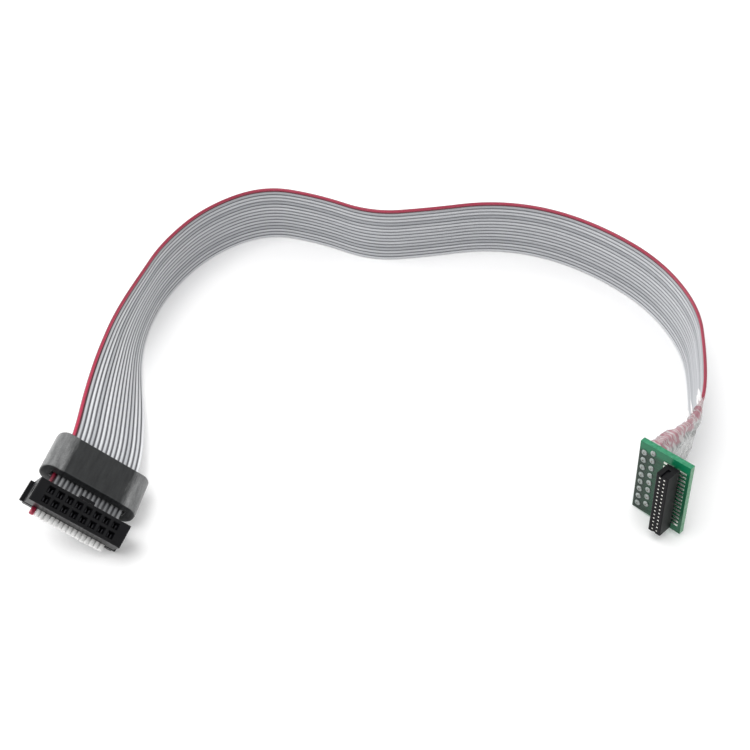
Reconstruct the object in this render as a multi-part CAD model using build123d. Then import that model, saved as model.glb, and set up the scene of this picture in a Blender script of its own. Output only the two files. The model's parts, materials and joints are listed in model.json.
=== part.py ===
"""Printhead cable: a 16-way ribbon with a 2 x 8 crimped socket at one end and a
small adapter board with a 2 x 15 header at the other.

The cable lies on a table as it comes to rest, with its ribbon standing on edge.
Millimetres, +Z up. The origin is on the table, under the middle of the end pieces.
"""

import os
from math import tan, radians

from build123d import *

# ---- ribbon ----------------------------------------------------------------
WIRES = 16
WIRE_PITCH = 1.27
RIBBON_WIDTH = WIRES * WIRE_PITCH
RIBBON_THICKNESS = 0.9
RIBBON_MID_HEIGHT = RIBBON_WIDTH / 2

# ---- crimped socket, 2 rows of 8 -------------------------------------------
SOCKET_COLUMNS = 8
SOCKET_PITCH = 2 * WIRE_PITCH
SOCKET_END_WALL = 3.6
SOCKET_LENGTH = (SOCKET_COLUMNS - 1) * SOCKET_PITCH + 2 * SOCKET_END_WALL
SOCKET_WIDTH = 6.1
SOCKET_BODY_DEPTH = 6.2
SOCKET_COVER_DEPTH = 2.7
CRIMP_CLEARANCE = 0.05
CAVITY = 1.7
CAVITY_MOUTH = 1.15
CAVITY_MOUTH_DEPTH = 0.8
KEY_LENGTH = 4.0
KEY_HEIGHT = 0.9
LATCH_WIDTH = 2.6
LATCH_THICKNESS = 1.0
LATCH_WINDOW = 1.6
LATCH_CLEARANCE = 0.1
RIBBON_TAIL = 0.6

# ---- one socket contact ----------------------------------------------------
SPRING_THICKNESS = 0.25
SPRING_WIDTH = 1.1
SPRING_GAP = 0.6
SPRING_LENGTH = 2.8
CONTACT_ROOT = 1.0
TINE_WIDTH = 0.35
CONTACT_RECESS = 1.5

# ---- flat ferrite core -----------------------------------------------------
FERRITE_LENGTH = 12.0
FERRITE_SLOT_CLEARANCE = 0.45
FERRITE_SLOT_HEIGHT = RIBBON_THICKNESS + 2 * FERRITE_SLOT_CLEARANCE
FERRITE_SLOT_WIDTH = RIBBON_WIDTH + 2 * FERRITE_SLOT_CLEARANCE
FERRITE_SIDE_WALL = 2.7
FERRITE_WIDTH = FERRITE_SLOT_WIDTH + 2 * FERRITE_SIDE_WALL
FERRITE_THICKNESS = 6.4
FERRITE_EDGE_SHARE = 0.44
FERRITE_AFTER_BEND = 1.2

# ---- adapter board ---------------------------------------------------------
BOARD_WIDTH = 14.8
BOARD_END_MARGIN = 1.975
BOARD_HEIGHT = (WIRES - 1) * WIRE_PITCH + 2 * BOARD_END_MARGIN
BOARD_THICKNESS = 1.6
PAD_COLUMN_EDGE = 1.5
PAD_COLUMN_PITCH = 2.54
PAD_HOLE = 0.9
SOLDER_DOME = 1.7
SOLDER_HEIGHT = 0.6

# ---- header, 2 rows of 15 --------------------------------------------------
HEADER_COLUMNS = 15
HEADER_PITCH = 1.27
HEADER_END_WALL = 1.1
HEADER_LENGTH = (HEADER_COLUMNS - 1) * HEADER_PITCH + 2 * HEADER_END_WALL
HEADER_WIDTH = 3.5
HEADER_STAND_OFF = 0.9
HEADER_DEPTH = 4.6
HEADER_EDGE = 2.4
HEADER_POCKET = 0.56
PEG_DIAMETER = 0.9
PEG_LENGTH = 2.6
PEG_CLEARANCE = 0.05
LEAD_WIDTH = 0.4
LEAD_THICKNESS = 0.25
LEAD_REACH = 1.5
LEAD_RECESS = 0.1

# ---- wire tails and sealant ------------------------------------------------
TAIL_LENGTH = 7.5
TAIL_DIAMETER = 0.95
CORE_DIAMETER = 0.5
CORE_BEYOND_BOARD = 0.6
WIRE_START = 0.4
SEALANT_LENGTH = 14.0
SEALANT_THICKNESS = 5.4
SEALANT_CLEARANCE = 0.05
SEALANT_SEAT = 0.05

# ---- where the two ends lie ------------------------------------------------
SOCKET = Plane(origin=(-69.44, -11.40, 16.02), x_dir=(0.791, -0.157, -0.591),
               z_dir=(0.478, -0.445, 0.757))
BOARD = Plane(origin=(74.58, -0.79, 12.45), x_dir=(0.660, -0.740, 0.128),
              z_dir=(-0.748, -0.663, 0.028))
CRIMP_DEPTH = SOCKET_BODY_DEPTH + CRIMP_CLEARANCE + RIBBON_THICKNESS / 2
EXIT_BEND_OUT = 2.15
EXIT_BEND_ANGLE = 27.0
EXIT_BEND = Pos(0, SOCKET_WIDTH / 2 + EXIT_BEND_OUT, -CRIMP_DEPTH) * Rot(X=-EXIT_BEND_ANGLE)
PAD_X = (-BOARD_WIDTH / 2 + PAD_COLUMN_EDGE, -BOARD_WIDTH / 2 + PAD_COLUMN_EDGE + PAD_COLUMN_PITCH)
RIBBON_X = sum(PAD_X) / 2
HEADER_X = BOARD_WIDTH / 2 - HEADER_EDGE - HEADER_WIDTH / 2

# ---- the ribbon's route, a free cord: its middle line, chosen by hand -------
ROUTE_BEND_SHARE = 0.45
ROUTE_SLACK = 0.04
UPRIGHT = Vector(0, 0, -1)
TWIST_POINTS = [(-69.7, 28.9, 10.5), (-70.7, 43.9, 10.4), (-71.1, 58.4, 10.2)]
FLAT_SECTION_STEP = 1.5
TWIST_SECTION_STEP = 5.0
RISE_SECTION_STEP = 3.0
STANDING_POINTS = [(-69.2, 73.1), (-64.6, 91.1), (-53.3, 110.1), (-35.3, 121.9), (-16.8, 116.7),
                   (1.2, 106.7), (20.2, 109.1), (40.2, 113.1), (59.2, 109.3), (76.2, 98.1),
                   (90.2, 81.6), (96.8, 60.6), (94.1, 41.1), (90.4, 25.1)]


def box(x, y, z, at):
    """A box of size x, y, z with its centre at the point given."""
    return Pos(*at) * Box(x, y, z)


def socket_point(y, z):
    """A point on the middle of the socket's width, y across its rows and z out of its face."""
    return SOCKET.from_local_coords(Vector(0, y, z))


def sleeve_point(along, lift=0.0):
    """A point along the ribbon's line in the ferrite, from the bend outside the socket."""
    local = (EXIT_BEND * Pos(0, along, lift)).position
    return SOCKET.from_local_coords(local)


def board_point(back, height):
    """A point on the ribbon's line behind the board's back face."""
    drop = height - BOARD.origin.Z
    point = BOARD.from_local_coords(Vector(RIBBON_X, drop, -BOARD_THICKNESS - back))
    return Vector(point.X, point.Y, height)


def route_points():
    """The corners of the ribbon's route, from its cut end in the socket to the board."""
    cut_end = socket_point(-SOCKET_WIDTH / 2 - RIBBON_TAIL, -CRIMP_DEPTH)
    bend = sleeve_point(0)
    in_clamp = (cut_end + bend) / 2 - Vector(SOCKET.z_dir) * ROUTE_SLACK
    in_ferrite = sleeve_point(FERRITE_AFTER_BEND + 0.4 * FERRITE_LENGTH, -ROUTE_SLACK)
    past_ferrite = sleeve_point(FERRITE_AFTER_BEND + FERRITE_LENGTH + 3.8)
    twist = [Vector(*point) for point in TWIST_POINTS]
    standing = [Vector(x, y, RIBBON_MID_HEIGHT) for x, y in STANDING_POINTS]
    rise = BOARD.origin.Z - RIBBON_MID_HEIGHT
    near_board = board_point(TAIL_LENGTH + 7.5, RIBBON_MID_HEIGHT + 0.4 * rise)
    at_board = board_point(TAIL_LENGTH, BOARD.origin.Z)
    return [cut_end, in_clamp, bend, in_ferrite, past_ferrite, *twist, *standing,
            near_board, at_board]


def bend_radii(points):
    """The radius of the tangent arc at each corner of a route."""
    radii = []
    for before, corner, after in zip(points, points[1:], points[2:]):
        run_in = corner - before
        run_out = after - corner
        turn = run_in.get_angle(run_out)
        radii.append(ROUTE_BEND_SHARE * min(run_in.length, run_out.length) / tan(radians(turn / 2)))
    return radii


def path_through(points):
    """Straight runs through the points, joined by tangent arcs."""
    return FilletPolyline(*points, radius=bend_radii(points))


def ribbon_plane(path, distance, width_dir):
    """The plane across the path at a distance along it, x along the ribbon's width."""
    share = min(distance / path.length, 1.0)
    tangent = path % share
    across = width_dir - tangent * width_dir.dot(tangent)
    return Plane(origin=path @ share, x_dir=across, z_dir=tangent)


def ribbon_section(path, distance, width_dir, clearance=0.0):
    """The ribbon's rectangle across the path, wider by a clearance on each side."""
    size = (RIBBON_WIDTH + 2 * clearance, RIBBON_THICKNESS + 2 * clearance)
    return ribbon_plane(path, distance, width_dir) * Rectangle(*size)


def ease(share):
    """A smooth step from 0 to 1."""
    share = max(0.0, min(1.0, share))
    return share * share * (3 - 2 * share)


def lofted_stretch(path, start, end, step, turn, clearance=0.0):
    """A stretch of ribbon between two distances, its width turned as turn(share) says."""
    count = max(1, round((end - start) / step))
    sections = []
    for index in range(count + 1):
        share = index / count
        distance = start + (end - start) * share
        sections.append(ribbon_section(path, distance, turn(share), clearance))
    return loft(sections, ruled=True), sections[-1]


def rising_stretch(points, clearance=0.0):
    """The last stretch of the ribbon, up to the board, and how far along the route it starts."""
    path = path_through(points)
    last_standing = points.index(standing_corner(-1))
    rise = (points[last_standing - 1] + points[last_standing]) / 2
    rise_at = path.param_at_point(rise) * path.length
    stretch, _ = lofted_stretch(path, rise_at, path.length, RISE_SECTION_STEP,
                                lambda share: UPRIGHT, clearance)
    return stretch, rise_at


def standing_corner(number):
    """One corner of the stretch where the ribbon stands on its edge."""
    return Vector(*STANDING_POINTS[number], RIBBON_MID_HEIGHT)


def ribbon_cable():
    """The ribbon: flat in the socket and ferrite, turning to stand on its edge, then rising."""
    points = route_points()
    path = path_through(points)
    stand_at = path.param_at_point((standing_corner(0) + standing_corner(1)) / 2) * path.length
    flat_end = path.param_at_point((points[3] + points[4]) / 2) * path.length
    turned = Vector(SOCKET.x_dir)
    flat, _ = lofted_stretch(path, 0.0, flat_end, FLAT_SECTION_STEP, lambda share: turned)
    twisted, last = lofted_stretch(path, flat_end, stand_at, TWIST_SECTION_STEP,
                                   lambda share: turned * (1 - ease(share)) + UPRIGHT * ease(share))
    rising, rise_at = rising_stretch(points)
    standing = sweep(last, path=path.trim(stand_at / path.length, rise_at / path.length))
    print("route length", round(path.length, 1), "bend radii",
          [round(radius, 1) for radius in bend_radii(points)])
    ribbon = flat + twisted + standing + rising
    print("ribbon volume", round(ribbon.volume, 1), "section times length",
          round(RIBBON_WIDTH * RIBBON_THICKNESS * path.length, 1))
    return ribbon


def socket_grid():
    """The centres of the socket's 16 positions, red wire's end first."""
    start = -(SOCKET_COLUMNS - 1) * SOCKET_PITCH / 2
    return [(start + column * SOCKET_PITCH, row * SOCKET_PITCH / 2)
            for column in range(SOCKET_COLUMNS) for row in (-1, 1)]


def cavity_mouth():
    """A square mouth that narrows into the socket's face."""
    outer = Rectangle(CAVITY_MOUTH + 0.7, CAVITY_MOUTH + 0.7)
    inner = Pos(0, 0, -CAVITY_MOUTH_DEPTH) * Rectangle(CAVITY_MOUTH, CAVITY_MOUTH)
    return loft([outer, inner], ruled=True)


def socket_body():
    """The socket's moulded body, with its cavities, key and latch ledges."""
    body = box(SOCKET_LENGTH, SOCKET_WIDTH, SOCKET_BODY_DEPTH, (0, 0, -SOCKET_BODY_DEPTH / 2))
    body = chamfer(body.edges().group_by(Axis.Z)[-1], 0.25)
    body += box(KEY_LENGTH, KEY_HEIGHT, SOCKET_BODY_DEPTH - 1.0,
                (0, SOCKET_WIDTH / 2 + KEY_HEIGHT / 2, -(SOCKET_BODY_DEPTH + 1.0) / 2))
    for x, y in socket_grid():
        cavity_depth = SOCKET_BODY_DEPTH - CAVITY_MOUTH_DEPTH
        body -= box(CAVITY, CAVITY, cavity_depth, (x, y, -CAVITY_MOUTH_DEPTH - cavity_depth / 2))
        body -= Pos(x, y, 0) * cavity_mouth()
    for side in (-1, 1):
        groove_depth = SOCKET_BODY_DEPTH - 1.2
        groove_width = LATCH_WIDTH + 2 * LATCH_CLEARANCE
        body -= box(LATCH_THICKNESS, groove_width, groove_depth,
                    (side * (SOCKET_LENGTH - LATCH_THICKNESS) / 2, 0,
                     -SOCKET_BODY_DEPTH + groove_depth / 2))
        body += box(0.5, LATCH_WINDOW - 2 * LATCH_CLEARANCE, 0.9,
                    (side * (SOCKET_LENGTH / 2 - LATCH_THICKNESS + 0.25), 0, -3.1))
    return SOCKET * body


def socket_cover():
    """The cover that clamps the ribbon on the contacts, with a latch arm at each end."""
    top = -SOCKET_BODY_DEPTH - 2 * CRIMP_CLEARANCE - RIBBON_THICKNESS
    cover = box(SOCKET_LENGTH, SOCKET_WIDTH, SOCKET_COVER_DEPTH, (0, 0, top - SOCKET_COVER_DEPTH / 2))
    cover = chamfer(cover.edges().group_by(Axis.Z)[0], 0.5)
    groove = box(SOCKET_LENGTH - 5.0, 1.6, 0.6, (0, 0, top - SOCKET_COVER_DEPTH + 0.3))
    cover -= groove
    arm_tip = -SOCKET_BODY_DEPTH + 4.3
    for side in (-1, 1):
        x = side * (SOCKET_LENGTH / 2 - LATCH_THICKNESS / 2 + LATCH_CLEARANCE)
        arm = box(LATCH_THICKNESS - 2 * LATCH_CLEARANCE, LATCH_WIDTH, arm_tip - top + 1.0,
                  (x, 0, (arm_tip + top - 1.0) / 2))
        window = box(LATCH_THICKNESS, LATCH_WINDOW, 1.5, (x, 0, -3.2))
        cover += arm - window
        ear = box(1.2, SOCKET_WIDTH - 0.6, 1.3,
                  (side * (SOCKET_LENGTH / 2 + 0.4), 0, top - SOCKET_COVER_DEPTH + 0.95))
        cover += ear
    return SOCKET * cover


def socket_contact(x, y):
    """One contact: two springs on a root, with two tines that reach the ribbon."""
    contact = box(SPRING_GAP + 2 * SPRING_THICKNESS, SPRING_WIDTH, CONTACT_ROOT,
                  (0, 0, -CONTACT_RECESS - SPRING_LENGTH - CONTACT_ROOT / 2))
    for side in (-1, 1):
        spring = box(SPRING_THICKNESS, SPRING_WIDTH, SPRING_LENGTH + 0.1,
                     (side * (SPRING_GAP + SPRING_THICKNESS) / 2, 0,
                      -CONTACT_RECESS - SPRING_LENGTH / 2))
        contact += spring
        root_end = -CONTACT_RECESS - SPRING_LENGTH - CONTACT_ROOT
        tine = box(TINE_WIDTH, SPRING_WIDTH / 2, SOCKET_BODY_DEPTH + root_end + 0.1,
                   (side * 0.35, 0, (root_end + 0.1 - SOCKET_BODY_DEPTH) / 2))
        contact += tine
    return SOCKET * (Pos(x, y, 0) * contact)


def ferrite_core():
    """The flat ferrite sleeve on the ribbon beside the socket, with rounded short sides."""
    core = Box(FERRITE_WIDTH, FERRITE_LENGTH, FERRITE_THICKNESS)
    core = fillet(core.edges().filter_by(Axis.Y), FERRITE_EDGE_SHARE * FERRITE_THICKNESS)
    core = fillet(core.edges().filter_by(lambda edge: abs(edge.center().Y) > 0.45 * FERRITE_LENGTH), 0.4)
    core -= Box(FERRITE_SLOT_WIDTH, FERRITE_LENGTH + 1, FERRITE_SLOT_HEIGHT)
    return SOCKET * (EXIT_BEND * Pos(0, FERRITE_AFTER_BEND + FERRITE_LENGTH / 2, 0) * core)


def pad_places():
    """The centres of the 16 soldered holes, lowest first, in two staggered columns."""
    start = -(WIRES - 1) * WIRE_PITCH / 2
    return [(PAD_X[wire % 2], start + wire * WIRE_PITCH) for wire in range(WIRES)]


def board():
    """The adapter board, with its wire holes and the header's peg holes."""
    plate = Pos(0, 0, -BOARD_THICKNESS / 2) * Box(BOARD_WIDTH, BOARD_HEIGHT, BOARD_THICKNESS)
    for x, y in pad_places():
        plate -= Pos(x, y, -BOARD_THICKNESS / 2) * Cylinder(PAD_HOLE / 2, BOARD_THICKNESS + 1)
    for y in peg_heights():
        hole = Cylinder(PEG_DIAMETER / 2 + PEG_CLEARANCE, BOARD_THICKNESS + 1)
        plate -= Pos(HEADER_X, y, -BOARD_THICKNESS / 2) * hole
    return BOARD * plate


def peg_heights():
    """The heights of the header's two locating pegs, which stand between contact rows."""
    reach = (HEADER_COLUMNS - 1) * HEADER_PITCH / 2 - HEADER_PITCH / 2
    return (-reach, reach)


def header_grid():
    """The header's contact places as (side, height), top first."""
    start = (HEADER_COLUMNS - 1) * HEADER_PITCH / 2
    return [(side, start - row * HEADER_PITCH) for side in (-1, 1) for row in range(HEADER_COLUMNS)]


def header_housing():
    """The header's housing, with its pockets, end notches and locating pegs."""
    housing = box(HEADER_WIDTH, HEADER_LENGTH, HEADER_DEPTH,
                  (0, 0, HEADER_STAND_OFF + HEADER_DEPTH / 2))
    housing = chamfer(housing.edges().group_by(Axis.Z)[-1], 0.2)
    face = HEADER_STAND_OFF + HEADER_DEPTH
    for side, y in header_grid():
        housing -= box(HEADER_POCKET, HEADER_POCKET, HEADER_DEPTH + 1,
                       (side * HEADER_PITCH / 2, y, HEADER_STAND_OFF + HEADER_DEPTH / 2))
    for end in (-1, 1):
        housing -= box(0.9, 0.5, 3.0, (0, end * (HEADER_LENGTH / 2 - 0.2), face - 1.5))
    for y in peg_heights():
        peg = Cylinder(PEG_DIAMETER / 2, PEG_LENGTH + HEADER_STAND_OFF + 0.3)
        middle = HEADER_STAND_OFF + 0.3 - (PEG_LENGTH + HEADER_STAND_OFF + 0.3) / 2
        housing += Pos(0, y, middle) * peg
    return BOARD * (Pos(HEADER_X, 0, 0) * housing)


def header_contact(side, y):
    """One header contact: a foot on the board and a blade up into its pocket."""
    tip = HEADER_STAND_OFF + HEADER_DEPTH - LEAD_RECESS
    blade = box(LEAD_WIDTH, LEAD_WIDTH, tip, (side * HEADER_PITCH / 2, y, tip / 2))
    foot = box(LEAD_REACH + HEADER_WIDTH / 2 - HEADER_PITCH / 2, LEAD_WIDTH, LEAD_THICKNESS,
               (side * (HEADER_WIDTH / 2 + LEAD_REACH + HEADER_PITCH / 2) / 2, y, LEAD_THICKNESS / 2))
    return BOARD * (Pos(HEADER_X, 0, 0) * (blade + foot))


def wire_line(wire):
    """Where one split wire starts at the ribbon's end and where it meets the board."""
    x, y = pad_places()[wire]
    path = path_through(route_points())
    ribbon_end = ribbon_plane(path, path.length, UPRIGHT)
    start = BOARD.to_local_coords(ribbon_end.from_local_coords(Vector(-y, 0, WIRE_START)))
    end = Vector(x, y, -BOARD_THICKNESS - 0.3)
    return start, end


def rod(start, end, diameter):
    """A round rod between two points."""
    direction = end - start
    plane = Plane(origin=(start + end) / 2, z_dir=direction)
    return plane * Cylinder(diameter / 2, direction.length)


def wire_tail(wire):
    """One split wire of the ribbon with its bare end through the board."""
    start, end = wire_line(wire)
    x, y = pad_places()[wire]
    core_length = CORE_BEYOND_BOARD - end.Z + 0.1
    core = Pos(x, y, CORE_BEYOND_BOARD - core_length / 2) * Cylinder(CORE_DIAMETER / 2, core_length)
    return rod(start, end, TAIL_DIAMETER) + core


def wire_tails():
    """The 16 split wires, each from the ribbon's end to its hole."""
    return Compound(children=[BOARD * wire_tail(wire) for wire in range(WIRES)])


def solder_joints():
    """The 16 solder joints: a domed ring on the board's face around each bare wire end."""
    joints = []
    for x, y in pad_places():
        dome = Cone(SOLDER_DOME / 2, CORE_DIAMETER / 2 + 0.15, SOLDER_HEIGHT)
        dome = Pos(x, y, SOLDER_HEIGHT / 2) * dome
        core = Pos(x, y, 0) * Cylinder(CORE_DIAMETER / 2 + 0.02, 4 * SOLDER_HEIGHT)
        joints.append(BOARD * (dome - core))
    return Compound(children=joints)


def sealant():
    """The glue over the ribbon's end and the back of the wire holes."""
    height = BOARD_HEIGHT - 1.2
    blob = Box(SEALANT_THICKNESS, height, SEALANT_LENGTH)
    blob = fillet(blob.edges().filter_by(Axis.Z), 1.6)
    blob = Pos(RIBBON_X + 0.2, 0, -BOARD_THICKNESS - SEALANT_SEAT - SEALANT_LENGTH / 2) * blob
    for wire in range(WIRES):
        start, end = wire_line(wire)
        blob -= rod(start, end + (end - start).normalized(), TAIL_DIAMETER + 2 * SEALANT_CLEARANCE)
    blob = BOARD * blob
    channel, _ = rising_stretch(route_points(), SEALANT_CLEARANCE)
    return blob - channel


def save(name, shape):
    """Write one node."""
    export_step(shape, f"parts/{name}.step")


os.makedirs("parts", exist_ok=True)
save("ribbon_cable", ribbon_cable())
save("ferrite_core", ferrite_core())
save("socket_body", socket_body())
save("socket_cover", socket_cover())
for number, (x, y) in enumerate(socket_grid(), start=1):
    save(f"socket_contact_{number:02d}", socket_contact(x, y))
save("adapter_board", board())
save("header_housing", header_housing())
for number, (side, y) in enumerate(header_grid(), start=1):
    save(f"header_contact_{number:02d}", header_contact(side, y))
save("wire_tails", wire_tails())
save("solder_joints", solder_joints())
save("sealant", sealant())
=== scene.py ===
"""Looks of the printhead cable: its ribbon, crimped socket, ferrite core, adapter board,
header, solder and glue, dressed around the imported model. Metres throughout."""

import json
import logging
from dataclasses import dataclass, field
from enum import Enum
from math import cos, pi, radians, sin

import bmesh
import bpy
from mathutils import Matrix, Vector, noise

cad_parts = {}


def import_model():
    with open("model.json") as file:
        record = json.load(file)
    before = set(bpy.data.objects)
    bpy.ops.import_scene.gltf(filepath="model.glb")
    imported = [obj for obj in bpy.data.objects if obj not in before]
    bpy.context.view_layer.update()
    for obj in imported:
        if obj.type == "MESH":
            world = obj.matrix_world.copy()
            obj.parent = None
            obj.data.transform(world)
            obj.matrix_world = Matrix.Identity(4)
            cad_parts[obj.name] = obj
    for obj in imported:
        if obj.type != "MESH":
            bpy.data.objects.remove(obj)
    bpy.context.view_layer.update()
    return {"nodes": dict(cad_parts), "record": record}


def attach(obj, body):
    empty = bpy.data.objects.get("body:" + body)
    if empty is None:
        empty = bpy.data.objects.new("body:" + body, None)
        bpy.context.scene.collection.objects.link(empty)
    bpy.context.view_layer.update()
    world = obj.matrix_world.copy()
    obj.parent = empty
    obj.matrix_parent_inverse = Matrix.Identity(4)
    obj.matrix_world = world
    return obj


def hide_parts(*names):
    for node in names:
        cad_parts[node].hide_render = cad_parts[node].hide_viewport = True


LOG = logging.getLogger("printhead_cable")
MM = 0.001
BODY = "root"

# The ribbon's route, in metres: its middle line from the cut end to the board.
ROUTE = [
    (-0.07404, -0.01164, 0.00994), (-0.07237, -0.00772, 0.01113), (-0.07066, -0.00383, 0.01239),
    (-0.06994, 0.00209, 0.01177), (-0.06856, 0.01296, 0.01074), (-0.06970, 0.02890, 0.01050),
    (-0.07070, 0.04390, 0.01040), (-0.07110, 0.05840, 0.01020), (-0.06920, 0.07310, 0.01016),
    (-0.06460, 0.09110, 0.01016), (-0.05330, 0.11010, 0.01016), (-0.03530, 0.12190, 0.01016),
    (-0.01680, 0.11670, 0.01016), (0.00120, 0.10670, 0.01016), (0.02020, 0.10910, 0.01016),
    (0.04020, 0.11310, 0.01016), (0.05920, 0.10930, 0.01016), (0.07620, 0.09810, 0.01016),
    (0.09020, 0.08160, 0.01016), (0.09680, 0.06060, 0.01016), (0.09410, 0.04110, 0.01016),
    (0.09040, 0.02510, 0.01016), (0.08403, 0.01348, 0.01108), (0.07833, 0.00867, 0.01245),
]


class Slot(Enum):
    """The record's material slots."""

    RIBBON = "ribbon_pvc"
    FERRITE = "ferrite"
    SOCKET = "socket_plastic"
    HEADER = "header_plastic"
    WIRE = "wire_pvc"
    SOLDER = "solder"
    GLUE = "clear_glue"


class Side(Enum):
    """The two sides of a row or a board."""

    LEFT = -1
    RIGHT = 1


@dataclass(frozen=True)
class Seat:
    """Where an end piece lies: its origin, its long axis and the way its face looks."""

    origin: Vector
    across: Vector
    out: Vector

    @staticmethod
    def from_mount(record: dict, mount: str, across: tuple[float, float, float]) -> "Seat":
        """Reads a seat from one of the record's mounts.

        Args:
            record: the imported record.
            mount: the mount's name.
            across: the direction of the seat's first axis.

        Returns:
            The seat, with its axes square to each other.
        """
        found = next(entry for entry in record["mounts"] if entry["name"] == mount)
        out = Vector(found["axis"]).normalized()
        first = Vector(across)
        first = (first - out * first.dot(out)).normalized()
        return Seat(Vector(found["pos_m"]), first, out)

    @property
    def up(self) -> Vector:
        """The seat's second axis."""
        return self.out.cross(self.across)

    def at(self, x: float, y: float, z: float) -> Vector:
        """The point at x, y, z millimetres in the seat's own axes."""
        return self.origin + (self.across * x + self.up * y + self.out * z) * MM

    def moved(self, x: float, y: float, z: float) -> "Seat":
        """The same seat with its origin moved by x, y, z millimetres."""
        return Seat(self.at(x, y, z), self.across, self.out)


# ---------------------------------------------------------------- finishes


class Nodes:
    """A short way to write one material's node tree."""

    def __init__(self, name: str) -> None:
        """Starts a material with a Principled shader.

        Args:
            name: the material's name.
        """
        self.material = bpy.data.materials.new(name)
        self.material.use_nodes = True
        self.tree = self.material.node_tree
        self.shader = self.tree.nodes["Principled BSDF"]

    def set(self, **values: object) -> None:
        """Sets the shader's sockets to plain values, with underscores read as spaces."""
        for key, value in values.items():
            self.shader.inputs[key.replace("_", " ")].default_value = value

    def add(self, kind: str, inputs: dict | None = None, **options: object) -> bpy.types.Node:
        """Adds a node.

        Args:
            kind: the node's type without its ShaderNode prefix.
            inputs: values or sockets by input name or number.
            options: properties of the node itself.

        Returns:
            The new node.
        """
        node = self.tree.nodes.new("ShaderNode" + kind)
        for key, value in options.items():
            setattr(node, key, value)
        for key, value in (inputs or {}).items():
            if isinstance(value, bpy.types.NodeSocket):
                self.tree.links.new(value, node.inputs[key])
            else:
                node.inputs[key].default_value = value
        return node

    def math(self, operation: str, *values: object) -> bpy.types.NodeSocket:
        """The result of a Math node on the values or sockets given."""
        return self.add("Math", dict(enumerate(values)), operation=operation).outputs[0]

    def place(self) -> bpy.types.NodeSocket:
        """The Object coordinates."""
        return self.add("TexCoord").outputs["Object"]

    def noise(self, vector: bpy.types.NodeSocket, scale: float, detail: float = 3.0,
              rough: float = 0.5) -> bpy.types.NodeSocket:
        """A noise texture's value."""
        node = self.add("TexNoise", {"Vector": vector, "Scale": scale, "Detail": detail,
                                     "Roughness": rough})
        return node.outputs["Fac"]

    def ramp(self, factor: bpy.types.NodeSocket, *stops: tuple) -> bpy.types.NodeSocket:
        """A colour ramp of (position, colour) stops."""
        node = self.add("ValToRGB", {"Fac": factor})
        ramp = node.color_ramp
        while len(ramp.elements) < len(stops):
            ramp.elements.new(0.5)
        for element, (position, colour) in zip(ramp.elements, stops):
            element.position = position
            element.color = (*colour, 1.0)
        return node.outputs["Color"]

    def mix(self, factor: object, first: object, second: object,
            blend: str = "MIX") -> bpy.types.NodeSocket:
        """A colour mix of two colours or sockets."""
        node = self.add("Mix", data_type="RGBA", blend_type=blend)
        for index, value in ((0, factor), (6, first), (7, second)):
            if isinstance(value, bpy.types.NodeSocket):
                self.tree.links.new(value, node.inputs[index])
            elif index == 0:
                node.inputs[index].default_value = value
            else:
                node.inputs[index].default_value = (*value, 1.0)
        return node.outputs[2]

    def colour(self, socket: bpy.types.NodeSocket) -> None:
        """Feeds the shader's base colour."""
        self.tree.links.new(socket, self.shader.inputs["Base Color"])

    def rough(self, factor: bpy.types.NodeSocket, low: float, high: float) -> None:
        """Feeds the shader's roughness between two values."""
        node = self.add("MapRange", {"Value": factor, "To Min": low, "To Max": high})
        self.tree.links.new(node.outputs[0], self.shader.inputs["Roughness"])

    def bump(self, height: bpy.types.NodeSocket, strength: float, distance: float) -> None:
        """Feeds the shader's normal from a height."""
        node = self.add("Bump", {"Height": height, "Strength": strength, "Distance": distance})
        self.tree.links.new(node.outputs[0], self.shader.inputs["Normal"])

    def along(self, direction: Vector, offset: Vector) -> bpy.types.NodeSocket:
        """How far a surface point lies along a direction from a place, in metres."""
        shifted = self.add("VectorMath", {0: self.place(), 1: offset}, operation="SUBTRACT")
        dot = self.add("VectorMath", {0: shifted.outputs[0], 1: direction},
                       operation="DOT_PRODUCT")
        return dot.outputs["Value"]

    def facing(self, direction: Vector) -> bpy.types.NodeSocket:
        """How squarely the surface faces along a direction, either way, from 0 to 1."""
        normal = self.add("NewGeometry").outputs["Normal"]
        dot = self.add("VectorMath", {0: normal, 1: direction}, operation="DOT_PRODUCT")
        return self.math("ABSOLUTE", dot.outputs["Value"])


@dataclass(frozen=True)
class MouldedPlastic:
    """Matt moulded plastic with a fine grain and faint flow marks."""

    name: str
    dark: tuple[float, float, float]
    light: tuple[float, float, float]
    rough_low: float = 0.34
    rough_high: float = 0.5
    grain: float = 0.06
    shine: float = 0.3

    def build(self) -> bpy.types.Material:
        """Builds the material."""
        nodes = Nodes(self.name)
        nodes.set(Specular_IOR_Level=self.shine, IOR=1.5)
        place = nodes.place()
        cloud = nodes.noise(place, 260.0, 4.0)
        fine = nodes.noise(place, 5200.0, 2.0)
        nodes.colour(nodes.ramp(cloud, (0.3, self.dark), (0.75, self.light)))
        nodes.rough(cloud, self.rough_low, self.rough_high)
        nodes.bump(fine, self.grain, 0.00004)
        return nodes.material


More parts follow.
